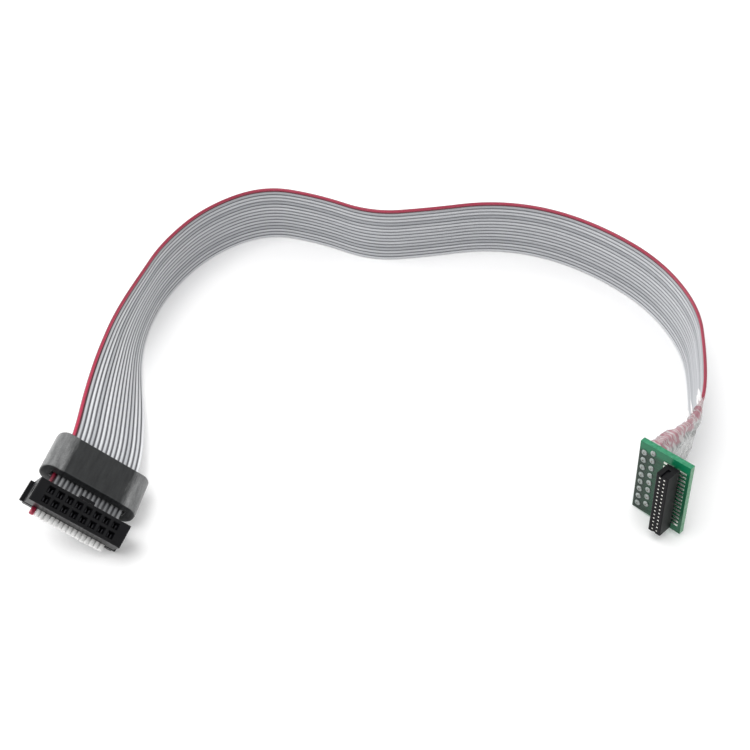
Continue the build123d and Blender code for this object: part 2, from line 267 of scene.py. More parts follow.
@dataclass(frozen=True)
class SinteredFerrite:
    """Dark grey pressed ferrite, streaked along its length, with a painted sheen near its short
    sides.
    """

    name: str
    middle: Vector
    run: Vector
    across: Vector

    def build(self) -> bpy.types.Material:
        """Builds the material, with its streaks squeezed across the run."""
        nodes = Nodes(self.name)
        nodes.set(Specular_IOR_Level=0.38, IOR=1.6)
        zero = Vector((0, 0, 0))
        run = nodes.math("MULTIPLY", nodes.along(self.run, zero), 160.0)
        across = nodes.math("MULTIPLY", nodes.along(self.across, zero), 900.0)
        streak_at = nodes.add("CombineXYZ", {"X": run, "Y": across}).outputs[0]
        streak = nodes.noise(streak_at, 1.0, 5.0, 0.65)
        grain = nodes.noise(nodes.place(), 2600.0, 3.0, 0.7)
        cloud = nodes.noise(nodes.place(), 240.0, 3.0)
        tone = nodes.ramp(streak, (0.3, (0.006, 0.007, 0.008)), (0.7, (0.024, 0.026, 0.027)))
        # Painted sheen: a lighter, streaked grey near both short sides, weaker where the surface
        # faces along the run.
        reach = nodes.math("ABSOLUTE", nodes.along(self.across, self.middle))
        near_end = nodes.math("ADD", reach, nodes.math("MULTIPLY", streak, 0.0016))
        painted_sheen = nodes.add("MapRange", {"Value": near_end, "From Min": 0.0086,
                                      "From Max": 0.0102}).outputs[0]
        rim = nodes.add("MapRange", {"Value": nodes.facing(self.run), "From Min": 0.6,
                                     "From Max": 0.8, "To Min": 1.0, "To Max": 0.12}).outputs[0]
        painted_sheen = nodes.math("MULTIPLY", painted_sheen, rim)
        sheen_tone = nodes.ramp(streak, (0.35, (0.125, 0.128, 0.130)), (0.68, (0.240, 0.243, 0.245)))
        tone = nodes.mix(painted_sheen, tone, sheen_tone)
        speck = nodes.ramp(grain, (0.35, (0.70, 0.70, 0.70)), (0.7, (1.12, 1.12, 1.10)))
        nodes.colour(nodes.mix(0.8, tone, speck, "MULTIPLY"))
        nodes.rough(nodes.math("MULTIPLY", cloud, nodes.math("ADD", streak, 0.5)), 0.24, 0.42)
        both = nodes.math("ADD", nodes.math("MULTIPLY", streak, 0.6), grain)
        nodes.bump(both, 0.22, 0.00006)
        return nodes.material


@dataclass(frozen=True)
class RibbonVinyl:
    """Drawn vinyl insulation: a tone for each wire, fine lines along it, painted shade in the webs
    between wires, painted contrast near the cut end and a painted shadow between the socket and
    the ferrite.
    """

    name: str
    dark: tuple[float, float, float]
    light: tuple[float, float, float]
    rough_low: float = 0.3
    rough_high: float = 0.46

    def build(self) -> bpy.types.Material:
        """Builds the material on the ribbon's own UV map: metres along and wires across."""
        nodes = Nodes(self.name)
        nodes.set(Specular_IOR_Level=0.55, IOR=1.54, Coat_Weight=0.06, Coat_Roughness=0.25)
        layout = nodes.add("UVMap", uv_map="Along").outputs[0]
        split = nodes.add("SeparateXYZ", {0: layout})
        along, across = split.outputs[0], split.outputs[1]
        wire = nodes.math("FLOOR", across)
        wire_tone = nodes.add("TexWhiteNoise", {"W": wire}, noise_dimensions="1D").outputs["Value"]
        far = nodes.math("MULTIPLY", along, 55.0)
        narrow = nodes.math("MULTIPLY", across, 6.0)
        line_at = nodes.add("CombineXYZ", {"X": far, "Y": narrow}).outputs[0]
        lines = nodes.noise(line_at, 1.0, 3.0)
        blotch_at = nodes.add("CombineXYZ", {"X": nodes.math("MULTIPLY", along, 420.0),
                                             "Y": nodes.math("MULTIPLY", across, 1.4)}).outputs[0]
        blotch = nodes.noise(blotch_at, 1.0, 2.0)
        tone = nodes.math("ADD", nodes.math("MULTIPLY", lines, 0.55),
                          nodes.math("MULTIPLY", wire_tone, 0.35))
        body = nodes.ramp(tone, (0.25, self.dark), (0.72, self.light))
        # Painted shade in the webs between wires; up to 55 mm from the cut end a painted highlight
        # on the ridges and deeper painted shade in the webs, fading out by 125 mm.
        within = nodes.math("ABSOLUTE", nodes.math("SUBTRACT", nodes.math("FRACT", across), 0.5))
        web_shade = nodes.ramp(within, (0.24, (1, 1, 1)), (0.46, (0.26, 0.26, 0.28)))
        painted_contrast = nodes.ramp(within, (0.16, (1.5, 1.5, 1.48)), (0.42, (0.10, 0.10, 0.12)))
        contrast_reach = nodes.add("MapRange", {"Value": along, "From Min": 0.055, "From Max": 0.125,
                                         "To Min": 0.85, "To Max": 0.0}).outputs[0]
        groove_shade = nodes.mix(contrast_reach, web_shade, painted_contrast)
        # Painted shadow: the ribbon at 0.35 of its colour up to 12.5 mm from the cut end, between
        # the socket and the ferrite, back to full by 14.5 mm.
        gap_shadow = nodes.add("MapRange", {"Value": along, "From Min": 0.0125, "From Max": 0.0145,
                                         "To Min": 0.35, "To Max": 1.0}).outputs[0]
        shade = nodes.add("CombineXYZ", {"X": gap_shadow, "Y": gap_shadow, "Z": gap_shadow}).outputs[0]
        grooved = nodes.mix(1.0, body, groove_shade, "MULTIPLY")
        nodes.colour(nodes.mix(1.0, grooved, shade, "MULTIPLY"))
        nodes.rough(blotch, self.rough_low, self.rough_high)
        nodes.bump(nodes.math("ADD", lines, nodes.math("MULTIPLY", blotch, 0.7)), 0.12, 0.00005)
        return nodes.material


@dataclass(frozen=True)
class PlainVinyl:
    """The same insulation on a single wire, read from its place."""

    name: str
    dark: tuple[float, float, float]
    light: tuple[float, float, float]

    def build(self) -> bpy.types.Material:
        """Builds the material."""
        nodes = Nodes(self.name)
        nodes.set(Specular_IOR_Level=0.5, IOR=1.54)
        place = nodes.place()
        cloud = nodes.noise(place, 900.0, 3.0)
        nodes.colour(nodes.ramp(cloud, (0.35, self.dark), (0.65, self.light)))
        nodes.rough(cloud, 0.32, 0.5)
        nodes.bump(nodes.noise(place, 3800.0, 2.0), 0.15, 0.00005)
        return nodes.material


@dataclass(frozen=True)
class PlatedMetal:
    """Tinned or soldered metal with a faintly mottled gloss."""

    name: str
    dull: tuple[float, float, float]
    bright: tuple[float, float, float]
    rough_low: float
    rough_high: float
    lumps: float = 0.1

    def build(self) -> bpy.types.Material:
        """Builds the material."""
        nodes = Nodes(self.name)
        nodes.set(Metallic=0.92, Specular_IOR_Level=0.5)
        place = nodes.place()
        cloud = nodes.noise(place, 1300.0, 3.0)
        nodes.colour(nodes.ramp(cloud, (0.3, self.dull), (0.7, self.bright)))
        nodes.rough(cloud, self.rough_low, self.rough_high)
        nodes.bump(nodes.noise(place, 2400.0, 2.0), self.lumps, 0.00008)
        return nodes.material


@dataclass(frozen=True)
class SolderMaskBoard:
    """Green solder mask: faint tracks, brighter along the top, darker towards its left side, sawn
    edges.
    """

    name: str
    seat: Seat
    track_pitch: float

    def build(self) -> bpy.types.Material:
        """Builds the material from the board's own axes."""
        nodes = Nodes(self.name)
        nodes.set(Specular_IOR_Level=0.35, IOR=1.5, Coat_Weight=0.08, Coat_Roughness=0.12)
        place = nodes.place()
        across = nodes.along(self.seat.across, self.seat.origin)
        height = nodes.along(self.seat.up, self.seat.origin)
        weave = nodes.noise(place, 1500.0, 2.0)
        cloud = nodes.noise(place, 150.0, 2.0)
        rows = nodes.math("FRACT", nodes.math("DIVIDE", height, self.track_pitch))
        row = nodes.math("ABSOLUTE", nodes.math("SUBTRACT", rows, 0.5))
        on_row = nodes.add("MapRange", {"Value": row, "From Min": 0.10, "From Max": 0.14,
                                        "To Min": 1.0, "To Max": 0.0}).outputs[0]
        reach = nodes.add("MapRange", {"Value": nodes.math("ABSOLUTE", across),
                                       "From Min": 0.0066, "From Max": 0.0068,
                                       "To Min": 1.0, "To Max": 0.0}).outputs[0]
        track = nodes.math("MULTIPLY", on_row, reach)
        mask = nodes.ramp(cloud, (0.3, (0.001, 0.062, 0.025)), (0.7, (0.003, 0.105, 0.045)))
        tracked = nodes.mix(nodes.math("MULTIPLY", track, 0.35), mask, (0.012, 0.150, 0.072))
        # Darker towards the board's left side past a ragged edge, and brighter in a band along its
        # top.
        edge = nodes.math("ADD", across, nodes.math("MULTIPLY", cloud, 0.003))
        darker_side = nodes.add("MapRange", {"Value": edge, "From Min": -0.0040, "From Max": 0.0040,
                                      "To Min": 0.9, "To Max": 0.0}).outputs[0]
        tracked = nodes.mix(darker_side, tracked, (0.006, 0.016, 0.010))
        brighter_top = nodes.add("MapRange", {"Value": height, "From Min": 0.0082, "From Max": 0.0098,
                                      "To Min": 0.0, "To Max": 0.75}).outputs[0]
        tracked = nodes.mix(brighter_top, tracked, (0.003, 0.185, 0.080))
        fibre = nodes.ramp(weave, (0.3, (0.008, 0.17, 0.075)), (0.7, (0.045, 0.28, 0.15)))
        sawn = nodes.ramp(weave, (0.3, (0.080, 0.23, 0.13)), (0.7, (0.20, 0.38, 0.25)))
        fibre = nodes.mix(nodes.facing(self.seat.across), fibre, sawn)
        flat = nodes.add("MapRange", {"Value": nodes.facing(self.seat.out), "From Min": 0.6,
                                      "From Max": 0.8}).outputs[0]
        nodes.colour(nodes.mix(flat, fibre, tracked))
        nodes.rough(flat, 0.62, 0.24)
        nodes.bump(nodes.math("ADD", nodes.math("MULTIPLY", track, 1.5), weave), 0.25, 0.00004)
        return nodes.material


@dataclass(frozen=True)
class MilkyGlue:
    """Milky hot-melt glue: cloudy and wet, in white folds, pink over the red wire."""

    name: str

    def build(self) -> bpy.types.Material:
        """Builds the material."""
        nodes = Nodes(self.name)
        nodes.set(IOR=1.46, Specular_IOR_Level=0.6, Transmission_Weight=0.38,
                  Subsurface_Weight=0.0, Coat_Weight=0.3, Coat_Roughness=0.1)
        place = nodes.place()
        cloud = nodes.noise(place, 190.0, 4.0, 0.6)
        ripple = nodes.noise(place, 620.0, 3.0, 0.55)
        nothing = Vector((0, 0, 0))
        height = nodes.along(Vector((0, 0, 1)), nothing)
        level = nodes.along(Vector((0.7, 0.7, 0)), nothing)
        fold_at = nodes.add("CombineXYZ", {"X": nodes.math("MULTIPLY", level, 1500.0),
                                           "Y": nodes.math("MULTIPLY", height, 260.0)}).outputs[0]
        fold = nodes.noise(fold_at, 1.0, 4.0, 0.6)
        clear = nodes.ramp(cloud, (0.35, (0.34, 0.35, 0.345)), (0.65, (0.62, 0.63, 0.62)))
        white = nodes.ramp(fold, (0.47, (0, 0, 0)), (0.57, (1, 1, 1)))
        ridges = nodes.math("MULTIPLY", white, 0.75)
        milky = nodes.mix(ridges, clear, (0.90, 0.90, 0.89))
        uneven = nodes.math("ADD", height, nodes.math("MULTIPLY", cloud, 0.002))
        over_red = nodes.add("MapRange", {"Value": uneven, "From Min": 0.0208, "From Max": 0.0218,
                                          "To Min": 0.0, "To Max": 0.62}).outputs[0]
        thin = nodes.math("MULTIPLY", over_red, nodes.math("SUBTRACT", 1.0, ridges))
        nodes.colour(nodes.mix(thin, milky, (0.60, 0.16, 0.23)))
        nodes.rough(cloud, 0.10, 0.32)
        nodes.bump(nodes.math("ADD", ripple, cloud), 0.6, 0.0006)
        return nodes.material


@dataclass(frozen=True)
class PaleFloor:
    """A plain pale table top."""

    name: str
    tone: float = 0.97

    def build(self) -> bpy.types.Material:
        """Builds the material, a little uneven so that it isn't dead flat."""
        nodes = Nodes(self.name)
        nodes.set(Specular_IOR_Level=0.2)
        cloud = nodes.noise(nodes.place(), 5.0, 2.0)
        low = (self.tone - 0.01,) * 3
        high = (self.tone + 0.01,) * 3
        nodes.colour(nodes.ramp(cloud, (0.3, low), (0.7, high)))
        nodes.rough(cloud, 0.55, 0.65)
        return nodes.material


# ---------------------------------------------------------------- mesh helpers


def new_piece(name: str, mesh: bpy.types.Mesh, *finishes: bpy.types.Material) -> bpy.types.Object:
    """Makes an object from a mesh and links it to the scene.

    Args:
        name: the piece's name.
        mesh: its mesh, already in place.
        finishes: its materials in slot order.

    Returns:
        The new object.
    """
    mesh.name = name
    for finish in finishes:
        mesh.materials.append(finish)
    piece = bpy.data.objects.new(name, mesh)
    bpy.context.scene.collection.objects.link(piece)
    return piece


def settle(piece: bpy.types.Object, slot: Slot, *nodes: str) -> bpy.types.Object:
    """Rides a piece on the body and hides the nodes it stands for."""
    if nodes:
        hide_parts(*nodes)
    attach(piece, BODY)
    LOG.info("%s: %d faces", piece.name, len(piece.data.polygons))
    return piece


def dress(node: bpy.types.Object, finish: bpy.types.Material) -> None:
    """Gives a carried-over node its material."""
    node.data.materials.clear()
    node.data.materials.append(finish)


def evaluated_mesh(source: bpy.types.Object) -> bpy.types.Mesh:
    """The plain mesh of an object with its modifiers applied."""
    graph = bpy.context.evaluated_depsgraph_get()
    graph.update()
    return bpy.data.meshes.new_from_object(source.evaluated_get(graph))


def softened_copy(node: bpy.types.Object, width: float, sharp: float = 35.0,
                  segments: int = 2) -> bpy.types.Mesh:
    """A copy of a node's mesh with its sharp edges broken.

    Args:
        node: the carried-over node.
        width: the bevel's width in metres.
        sharp: the angle in degrees past which an edge is broken.
        segments: the bevel's rows of faces.

    Returns:
        The new mesh, shaded smooth except over the edges that stay sharp.
    """
    shape = bmesh.new()
    shape.from_mesh(node.data)
    bmesh.ops.remove_doubles(shape, verts=shape.verts, dist=1e-6)
    bmesh.ops.dissolve_limit(shape, angle_limit=radians(0.5), verts=shape.verts,
                             edges=shape.edges)
    edges = [edge for edge in shape.edges
             if len(edge.link_faces) == 2 and edge.calc_face_angle(0.0) > radians(sharp)]
    bmesh.ops.bevel(shape, geom=edges, offset=width, offset_type="OFFSET", segments=segments,
                    profile=0.6, affect="EDGES", clamp_overlap=True)
    bmesh.ops.triangulate(shape, faces=[face for face in shape.faces if len(face.verts) > 4])
    mesh = bpy.data.meshes.new(node.name + "_soft")
    shape.to_mesh(mesh)
    shape.free()
    holder = bpy.data.objects.new("holder", mesh)
    bpy.context.scene.collection.objects.link(holder)
    mesh.shade_smooth()
    mesh.set_sharp_from_angle(angle=radians(44))
    weighted = holder.modifiers.new("Weighted", "WEIGHTED_NORMAL")
    weighted.keep_sharp = True
    result = evaluated_mesh(holder)
    bpy.data.objects.remove(holder)
    return result


def lathe(rings: list[tuple[float, float]], count: int, seat: Seat) -> bpy.types.Mesh:
    """A closed turned shape from (radius, height) rings in millimetres about a seat's out axis."""
    shape = bmesh.new()
    rows = []
    for radius, height in rings:
        if radius <= 0:
            rows.append([shape.verts.new(seat.at(0, 0, height))])
            continue
        rows.append([shape.verts.new(seat.at(radius * cos(2 * pi * step / count),
                                             radius * sin(2 * pi * step / count), height))
                     for step in range(count)])
    for low, high in zip(rows, rows[1:]):
        for step in range(count):
            after = (step + 1) % count
            if len(low) == 1:
                shape.faces.new((low[0], high[step], high[after]))
            elif len(high) == 1:
                shape.faces.new((low[step], high[0], low[after]))
            else:
                shape.faces.new((low[step], high[step], high[after], low[after]))
    bmesh.ops.recalc_face_normals(shape, faces=shape.faces)
    for face in shape.faces:
        face.smooth = True
    mesh = bpy.data.meshes.new("turned")
    shape.to_mesh(mesh)
    shape.free()
    return mesh


def block(size: tuple[float, float, float], middle: tuple[float, float, float], seat: Seat,
          bevel: float) -> bpy.types.Mesh:
    """A block with broken edges, its size and middle in a seat's own millimetres."""
    shape = bmesh.new()
    bmesh.ops.create_cube(shape, size=1.0)
    bmesh.ops.scale(shape, vec=Vector(size), verts=shape.verts)
    bmesh.ops.translate(shape, vec=Vector(middle), verts=shape.verts)
    bmesh.ops.bevel(shape, geom=shape.edges[:], offset=bevel, segments=2, affect="EDGES")
    for vertex in shape.verts:
        vertex.co = seat.at(*vertex.co)
    bmesh.ops.recalc_face_normals(shape, faces=shape.faces)
    mesh = bpy.data.meshes.new("block")
    shape.to_mesh(mesh)
    shape.free()
    return mesh


def joined(name: str, meshes: list[bpy.types.Mesh],
           finish: bpy.types.Material) -> bpy.types.Object:
    """One piece made of several meshes in one material."""
    shape = bmesh.new()
    for mesh in meshes:
        shape.from_mesh(mesh)
    whole = bpy.data.meshes.new(name)
    shape.to_mesh(whole)
    shape.free()
    for polygon in whole.polygons:
        polygon.material_index = 0
    return new_piece(name, whole, finish)


class RowTree:
    """A Geometry Nodes tree that repeats one shape in a straight row."""

    INPUTS = (("Count", "NodeSocketInt"), ("Step", "NodeSocketVector"),
              ("Jitter", "NodeSocketVector"), ("Seed", "NodeSocketInt"),
              ("Finish", "NodeSocketMaterial"))

    def __init__(self) -> None:
        """Builds the tree with its named inputs."""
        tree = bpy.data.node_groups.new("Row of like pieces", "GeometryNodeTree")
        self.tree = tree
        self.sockets = {}
        tree.interface.new_socket("Geometry", in_out="INPUT", socket_type="NodeSocketGeometry")
        for name, kind in self.INPUTS:
            made = tree.interface.new_socket(name, in_out="INPUT", socket_type=kind)
            self.sockets[name] = made.identifier
        tree.interface.new_socket("Geometry", in_out="OUTPUT", socket_type="NodeSocketGeometry")
        given = tree.nodes.new("NodeGroupInput").outputs
        line = tree.nodes.new("GeometryNodeMeshLine")
        line.mode = "OFFSET"
        place = tree.nodes.new("GeometryNodeInstanceOnPoints")
        spread = tree.nodes.new("FunctionNodeRandomValue")
        spread.data_type = "FLOAT_VECTOR"
        back = tree.nodes.new("ShaderNodeVectorMath")
        back.operation = "SCALE"
        back.inputs["Scale"].default_value = -1.0
        shift = tree.nodes.new("GeometryNodeTranslateInstances")
        real = tree.nodes.new("GeometryNodeRealizeInstances")
        paint = tree.nodes.new("GeometryNodeSetMaterial")
        result = tree.nodes.new("NodeGroupOutput")
        for source, target in (
            (given["Count"], line.inputs["Count"]),
            (given["Step"], line.inputs["Offset"]),
            (line.outputs["Mesh"], place.inputs["Points"]),
            (given["Geometry"], place.inputs["Instance"]),
            (given["Jitter"], back.inputs[0]),
            (back.outputs["Vector"], spread.inputs["Min"]),
            (given["Jitter"], spread.inputs["Max"]),
            (given["Seed"], spread.inputs["Seed"]),
            (place.outputs["Instances"], shift.inputs["Instances"]),
            (spread.outputs["Value"], shift.inputs["Translation"]),
            (shift.outputs["Instances"], real.inputs["Geometry"]),
            (real.outputs["Geometry"], paint.inputs["Geometry"]),
            (given["Finish"], paint.inputs["Material"]),
            (paint.outputs["Geometry"], result.inputs["Geometry"]),
        ):
            tree.links.new(source, target)

    def row(self, shape: bpy.types.Mesh, count: int, step: Vector, finish: bpy.types.Material,
            jitter: Vector = Vector((0, 0, 0)), seed: int = 1) -> bpy.types.Mesh:
        """Repeats a shape and returns the plain mesh.

        Args:
            shape: the first copy, already in its place.
            count: how many copies there are.
            step: from one copy to the next, in metres.
            finish: the material of them all.
            jitter: how far a copy may lie from its place on each axis.
            seed: the seed of that scatter.

        Returns:
            A mesh with every copy in it.
        """
        holder = bpy.data.objects.new("row", shape)
        bpy.context.scene.collection.objects.link(holder)
        modifier = holder.modifiers.new("Row", "NODES")
        modifier.node_group = self.tree
        for name, value in (("Count", count), ("Step", step), ("Jitter", jitter),
                            ("Seed", seed), ("Finish", finish)):
            modifier[self.sockets[name]] = value
        mesh = evaluated_mesh(holder)
        bpy.data.objects.remove(holder)
        return mesh


# ---------------------------------------------------------------- the ribbon


@dataclass
class Ribbon:
    """The 16-way ribbon: one ridged strip along the route, turning to stand on its edge."""

    wires: int = 16
    pitch: float = 1.27
    wire_radius: float = 0.45
    web_half: float = 0.16
    arc_steps: int = 6
    station_gap: float = 1.25
    flat_length: float = 20.3
    standing_point: int = 8
    real_length: float = 0.3645
    flat_across: Vector = field(default_factory=lambda: Vector((0.791, -0.157, -0.591)))
    line: list[Vector] = field(default_factory=list)
    across: list[Vector] = field(default_factory=list)

    @property
    def width(self) -> float:
        """The ribbon's width in metres."""
        return self.wires * self.pitch * MM

    def centreline(self) -> list[Vector]:
        """Reads the points of the route's smooth line from its NURBS spline."""
        curve = bpy.data.curves.new("route", "CURVE")
        curve.dimensions = "3D"
        curve.resolution_u = 24
        spline = curve.splines.new("NURBS")
        spline.points.add(len(ROUTE) - 1)
        for point, place in zip(spline.points, ROUTE):
            point.co = (*place, 1.0)
        spline.order_u = 3
        spline.use_endpoint_u = True
        holder = bpy.data.objects.new("route", curve)
        bpy.context.scene.collection.objects.link(holder)
        mesh = evaluated_mesh(holder)
        points = [vertex.co.copy() for vertex in mesh.vertices]
        bpy.data.objects.remove(holder)
        return points

    def stations(self) -> None:
        """Thins the line to even stations and finds the ribbon's width direction at each."""
        points = self.centreline()
        kept = [points[0]]
        for point in points[1:]:
            if (point - kept[-1]).length >= self.station_gap * MM:
                kept.append(point)
        kept[-1] = points[-1]
        self.line = kept
        travelled = [0.0]
        for before, after in zip(kept, kept[1:]):
            travelled.append(travelled[-1] + (after - before).length)
        first = Vector(ROUTE[self.standing_point])
        stand = (first + Vector(ROUTE[self.standing_point + 1])) / 2
        nearest = min(range(len(kept)), key=lambda index: (kept[index] - stand).length)
        start, end = self.flat_length * MM, travelled[nearest]
        down = Vector((0, 0, -1))
        self.across = []
        for index, distance in enumerate(travelled):
            share = max(0.0, min(1.0, (distance - start) / (end - start)))
            eased = share * share * (3 - 2 * share)
            wanted = self.flat_across * (1 - eased) + down * eased
            tangent = self.tangent(index)
            self.across.append((wanted - tangent * wanted.dot(tangent)).normalized())

    def tangent(self, index: int) -> Vector:
        """The direction of the line at a station."""
        before = self.line[max(index - 1, 0)]
        after = self.line[min(index + 1, len(self.line) - 1)]
        return (after - before).normalized()

    def section(self) -> list[tuple[float, float, int]]:
        """The ridged outline as (across, thickness, wire) in millimetres, once around."""
        web_shade = self.web_half
        lift = (self.wire_radius ** 2 - web_shade ** 2) ** 0.5
        low_angle = pi / 2 - (pi / 2 - Vector((lift, web_shade)).angle(Vector((1, 0))))
        outline = []
        for face in (1, -1):
            order = range(self.wires) if face == 1 else range(self.wires - 1, -1, -1)
            for wire in order:
                middle = (wire - (self.wires - 1) / 2) * self.pitch
                first = pi if wire == 0 and face == 1 else pi - low_angle
                last = low_angle
                if face == 1 and wire == self.wires - 1:
                    last = 0.0
                if face == -1:
                    first = 0.0 if wire == self.wires - 1 else low_angle
                    last = pi if wire == 0 else pi - low_angle
                for step in range(self.arc_steps + 1):
                    angle = first + (last - first) * step / self.arc_steps
                    outline.append((middle + self.wire_radius * cos(angle),
                                    face * self.wire_radius * sin(angle), wire))
        unique = []
        for entry in outline:
            if not unique or abs(entry[0] - unique[-1][0]) + abs(entry[1] - unique[-1][1]) > 1e-6:
                unique.append(entry)
        if abs(unique[0][0] - unique[-1][0]) + abs(unique[0][1] - unique[-1][1]) < 1e-6:
            unique.pop()
        return unique

    def build(self, grey: bpy.types.Material, red: bpy.types.Material) -> bpy.types.Object:
        """Sweeps the outline along the line.

        Args:
            grey: the finish of fifteen wires.
            red: the finish of the edge wire.

        Returns:
            The ribbon, in place, with its UV map in metres along and wires across.
        """
        self.stations()
        outline = self.section()
        shape = bmesh.new()
        layout = shape.loops.layers.uv.new("Along")
        rows = []
        for index, middle in enumerate(self.line):
            across = self.across[index]
            through = self.tangent(index).cross(across)
            rows.append([shape.verts.new(middle + (across * a + through * b) * MM)
                         for a, b, _ in outline])
        count = len(outline)
        distance = 0.0
        for index in range(len(rows) - 1):
            reach = distance + (self.line[index + 1] - self.line[index]).length
            for side in range(count):
                after = (side + 1) % count
                wire = min(outline[side][2], outline[after][2])
                face = shape.faces.new((rows[index][side], rows[index][after],
                                        rows[index + 1][after], rows[index + 1][side]))
                face.smooth = True
                face.material_index = 1 if wire == 0 else 0
                middle = (wire - (self.wires - 1) / 2) * self.pitch
                for loop, (point, far) in zip(face.loops, ((side, distance), (after, distance),
                                                           (after, reach), (side, reach))):
                    within = (outline[point][0] - middle) / self.pitch + 0.5
                    loop[layout].uv = (far, wire + max(0.001, min(0.999, within)))
            distance = reach
        for row in (rows[0], rows[-1]):
            cap = shape.faces.new(row)
            bmesh.ops.triangulate(shape, faces=[cap])
        bmesh.ops.recalc_face_normals(shape, faces=shape.faces)
        mesh = bpy.data.meshes.new("ribbon")
        shape.to_mesh(mesh)
        shape.free()
        piece = new_piece("ribbon", mesh, grey, red)
        LOG.info("ribbon line %.4f m in %d stations", distance, len(self.line))
        return piece


# ---------------------------------------------------------------- the socket end


@dataclass
class SocketEnd:
    """The crimped socket, its contacts, the cut wire ends and the ferrite core beside it."""

    seat: Seat
    rows: RowTree
    wires: int = 16
    wire_pitch: float = 1.27
    half_width: float = 3.05
    crimp_depth: float = 6.7
    end_reach: float = 1.85
    end_radius: float = 0.625

    def build(self, nodes: dict[str, bpy.types.Object]) -> bpy.types.Object:
        """Builds and dresses every piece of this end.

        Args:
            nodes: the carried-over nodes by name.

        Returns:
            The ferrite core, which rides on the ribbon.
        """
        plastic = MouldedPlastic("Socket_plastic", (0.002, 0.002, 0.003), (0.006, 0.006, 0.007),
                                 rough_low=0.28, rough_high=0.44, shine=0.15)
        black = plastic.build()
        for name in ("socket_body", "socket_cover"):
            mesh = softened_copy(nodes[name], 0.00014)
            settle(new_piece(name + "_moulding", mesh, black), Slot.SOCKET, name)
        # The contacts' tin is near black: painted shade for the deep holes they sit in.
        tin = PlatedMetal("Contact_tin_painted_shade", (0.018, 0.018, 0.021), (0.060, 0.060, 0.066),
                          0.28, 0.46).build()
        for name, node in nodes.items():
            if name.startswith("socket_contact"):
                dress(node, tin)
        self.wire_ends()
        return self.ferrite(nodes["ferrite_core"])

    def ferrite(self, node: bpy.types.Object) -> bpy.types.Object:
        """The ferrite core with its edges broken."""
        finish = SinteredFerrite("Ferrite_grey", self.seat.origin, self.seat.up,
                                 self.seat.across).build()
        mesh = softened_copy(node, 0.0002, sharp=50.0)
        return settle(new_piece("ferrite_sleeve", mesh, finish), Slot.FERRITE, "ferrite_core")

    def wire_end(self, place: int) -> bpy.types.Mesh:
        """One cut wire end: a stub of insulation with a rounded, slightly dished tip."""
        radius, reach = self.end_radius, self.end_reach
        x = (place - (self.wires - 1) / 2) * self.wire_pitch
        origin = self.seat.at(x, -self.half_width + 0.5, -self.crimp_depth)
        facing = Seat(origin, self.seat.across, -self.seat.up)
        top = reach + 0.5
        rings = [(0.0, 0.0), (radius, 0.0), (radius, top - 0.35), (radius * 0.93, top - 0.14),
                 (radius * 0.72, top - 0.02), (radius * 0.45, top), (radius * 0.3, top - 0.08),
                 (0.0, top - 0.1)]
        return lathe(rings, 20, facing)

    def wire_ends(self) -> None:
        """The row of cut ends that shows in the clamp's slot, the red one first."""
        white = PlainVinyl("Cut_end_vinyl", (0.72, 0.72, 0.71), (0.90, 0.90, 0.89)).build()
        red = PlainVinyl("Cut_end_red", (0.24, 0.008, 0.03), (0.50, 0.03, 0.08)).build()
        step = self.seat.across * self.wire_pitch * MM
        loose = self.seat.up * 0.12 * MM
        grey_row = self.rows.row(self.wire_end(1), self.wires - 1, step, white, jitter=loose,
                                 seed=4)
        settle(new_piece("wire_end_row", grey_row), Slot.WIRE)
        red_end = self.rows.row(self.wire_end(0), 1, step, red)
        settle(new_piece("wire_end_red", red_end), Slot.WIRE)


# ---------------------------------------------------------------- the board end


@dataclass(frozen=True)
class GlueSkin:
    """The glue's outline around its middle line, in millimetres, and its lumps."""

    sides: int = 72
    half_width: float = 10.75
    flare: float = 0.35
    half_thickness: float = 1.25
    swell: float = 2.1
    swell_from: float = 0.45
    swell_power: float = 1.4
    corner_across: float = 0.55
    corner_through: float = 0.75
    fringe_reach: float = 3.0
    floor_gap: float = 0.12

    def lump(self, place: Vector) -> float:
        """How far the skin stands out at a place: soft lumps, fine lumps and folds."""
        soft = noise.noise(place * 380) * 0.9
        fine = noise.noise(place * 1100) * 0.3
        fold = (0.35 - abs(noise.noise(place * 640))) * 0.9
        return soft + fine + fold

    def ring(self, middle: Vector, forward: Vector, across: Vector, share: float) -> list[Vector]:
        """One ring of the skin.

        Args:
            middle: its middle.
            forward: the way towards the board.
            across: the way along the ribbon's width.
            share: how far along the glue it is, 0 at the far edge and 1 at the board.

        Returns:
            The places of its vertices.
        """
        through = forward.cross(across)
        half_wide = self.half_width + self.flare * share
        swollen = max(0.0, (share - self.swell_from) / (1 - self.swell_from))
        half_thick = self.half_thickness + self.swell * swollen ** self.swell_power
        edge = min(1.0, 0.25 + share * 9)
        places = []
        for step in range(self.sides):
            angle = 2 * pi * step / self.sides
            side = 1 if cos(angle) >= 0 else -1
            face = 1 if sin(angle) >= 0 else -1
            a = abs(cos(angle)) ** self.corner_across * side * half_wide
            b = abs(sin(angle)) ** self.corner_through * face * half_thick * edge
            place = middle + (across * a + through * b) * MM
            away = (across * cos(angle) * 0.8 + through * sin(angle)).normalized()
            fringe = noise.noise(Vector((a * 0.4, 3.0, 0.0))) * (1 - share) ** 3
            place = (place + away * self.lump(place) * MM * min(1.0, share * 4 + 0.3)
                     + forward * fringe * self.fringe_reach * MM)
            place.z = max(place.z, self.floor_gap * MM)
            places.append(place)
        return places


